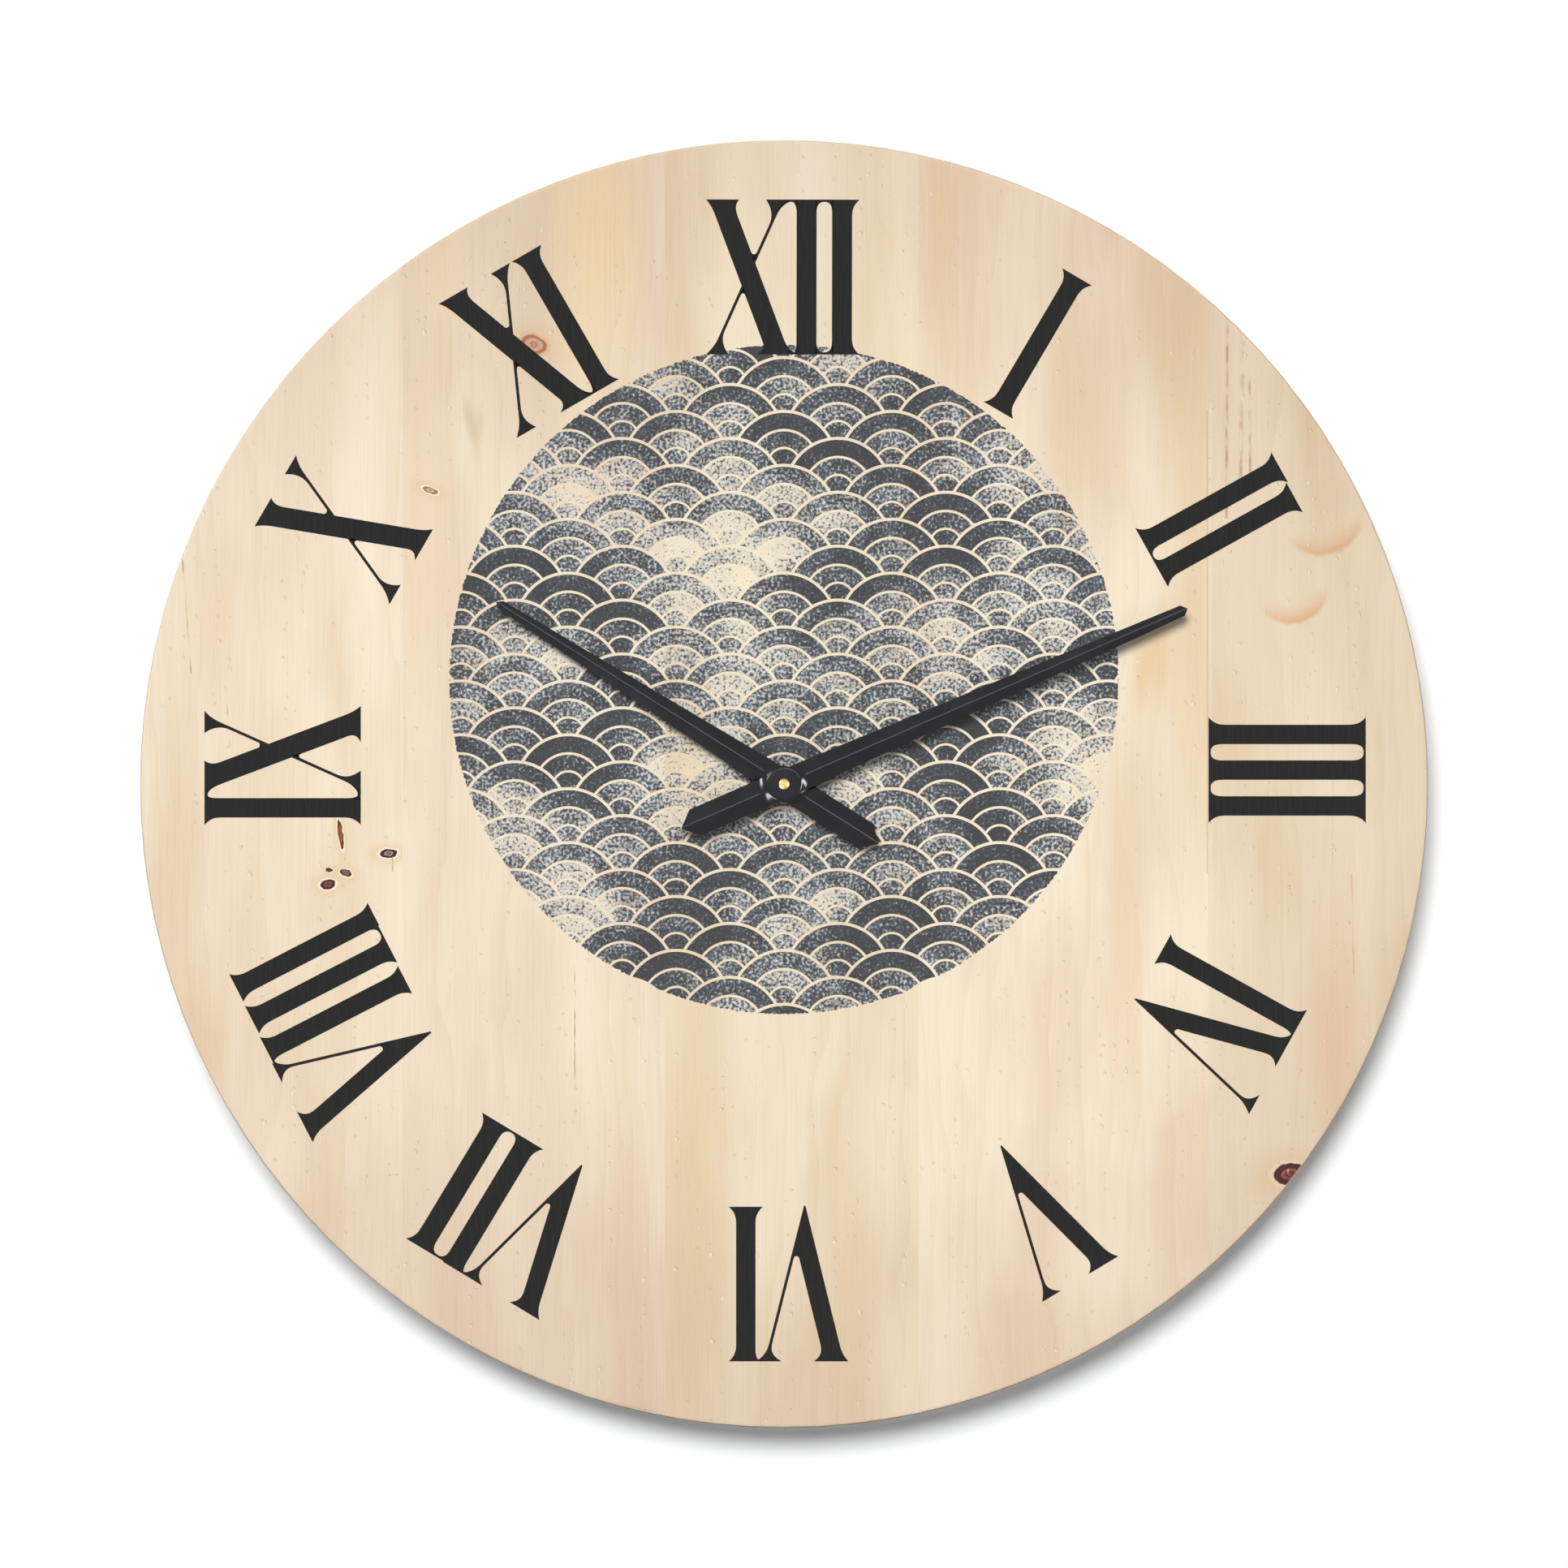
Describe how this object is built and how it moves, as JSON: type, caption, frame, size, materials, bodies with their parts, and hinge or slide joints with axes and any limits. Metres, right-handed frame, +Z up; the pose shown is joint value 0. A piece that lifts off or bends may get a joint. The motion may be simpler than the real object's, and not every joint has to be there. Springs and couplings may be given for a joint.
{
  "type": "wall clock",
  "caption": "Round wall clock on a glued pine dial with Roman numerals, ridged black hands and a geared quartz movement let into the back below a keyhole hanger.",
  "frame": {"origin": "on the wall plane behind the middle of the dial, on the axis of the hands", "axes": "+Z up, +X to the right as one looks at the dial, +Y into the wall; the dial faces -Y"},
  "size_m": [0.4064, 0.0287, 0.4064],
  "materials": {
    "pine": "sanded pale pine, unvarnished",
    "black_paint": "satin black paint on pressed steel",
    "brass": "turned brass",
    "steel": "zinc-plated steel",
    "iron": "bare soft iron",
    "copper": "enamelled copper wire",
    "black_plastic": "moulded black plastic",
    "white_plastic": "moulded acetal",
    "rubber": "soft black rubber",
    "ferrite": "sintered ferrite",
    "laminate": "green glass-fibre laminate",
    "can": "drawn metal can"
  },
  "bodies": {
    "clock_body": {"plank_far_left": "pine", "plank_left": "pine", "plank_centre": "pine", "plank_right": "pine", "plank_far_right": "pine", "hanger_plate": "steel", "hanger_screw_top": "steel", "hanger_screw_bottom": "steel", "movement_case": "black_plastic", "rear_cover": "black_plastic", "train_bridge": "white_plastic", "threaded_bushing": "brass", "rubber_gasket": "rubber", "dial_washer": "brass", "dial_nut": "brass", "stator": "iron", "coil_core": "iron", "coil_bobbin": "white_plastic", "coil_winding": "copper", "coil_screw_left": "steel", "coil_screw_right": "steel", "circuit_board": "laminate", "circuit_chip": "black_plastic", "quartz_crystal": "can", "battery": "can", "positive_contact": "steel", "negative_contact": "steel"},
    "minute_group": {"minute_hand": "black_paint", "minute_arbor": "brass", "centre_wheel": "white_plastic"},
    "hour_group": {"hour_hand": "black_paint", "hour_wheel": "brass"},
    "setting_group": {"minute_wheel": "white_plastic", "setting_knob": "white_plastic"},
    "third_group": {"third_wheel": "white_plastic"},
    "seconds_group": {"seconds_wheel": "white_plastic"},
    "intermediate_group": {"intermediate_wheel": "white_plastic"},
    "rotor_group": {"rotor_pinion": "white_plastic", "rotor_magnet": "ferrite"}
  },
  "joints": [
    {"name": "minute_turn", "type": "hinge", "parent": "clock_body", "child": "minute_group", "pos_m": [0, -0.02, 0], "axis": [0, 1, 0], "continuous": true},
    {"name": "hour_turn", "type": "hinge", "parent": "clock_body", "child": "hour_group", "pos_m": [0, -0.02, 0], "axis": [0, 1, 0], "continuous": true},
    {"name": "setting_turn", "type": "hinge", "parent": "clock_body", "child": "setting_group", "pos_m": [-0.00827, -0.012, 0.00477], "axis": [0, 1, 0], "continuous": true},
    {"name": "third_turn", "type": "hinge", "parent": "clock_body", "child": "third_group", "pos_m": [0.0044, -0.01, 0.00762], "axis": [0, 1, 0], "continuous": true},
    {"name": "seconds_turn", "type": "hinge", "parent": "clock_body", "child": "seconds_group", "pos_m": [0, -0.007, 0], "axis": [0, 1, 0], "continuous": true},
    {"name": "intermediate_turn", "type": "hinge", "parent": "clock_body", "child": "intermediate_group", "pos_m": [-0.00053, -0.006, 0.00604], "axis": [0, 1, 0], "continuous": true},
    {"name": "rotor_turn", "type": "hinge", "parent": "clock_body", "child": "rotor_group", "pos_m": [0.00092, -0.005, 0.01145], "axis": [0, 1, 0], "continuous": true}
  ],
  "couplings": [
    {"joint": "hour_turn", "follows": "minute_turn", "ratio": 0.083333},
    {"joint": "setting_turn", "follows": "minute_turn", "ratio": -0.25},
    {"joint": "third_turn", "follows": "minute_turn", "ratio": -8},
    {"joint": "seconds_turn", "follows": "minute_turn", "ratio": 60},
    {"joint": "intermediate_turn", "follows": "minute_turn", "ratio": -300},
    {"joint": "rotor_turn", "follows": "minute_turn", "ratio": 1800}
  ]
}
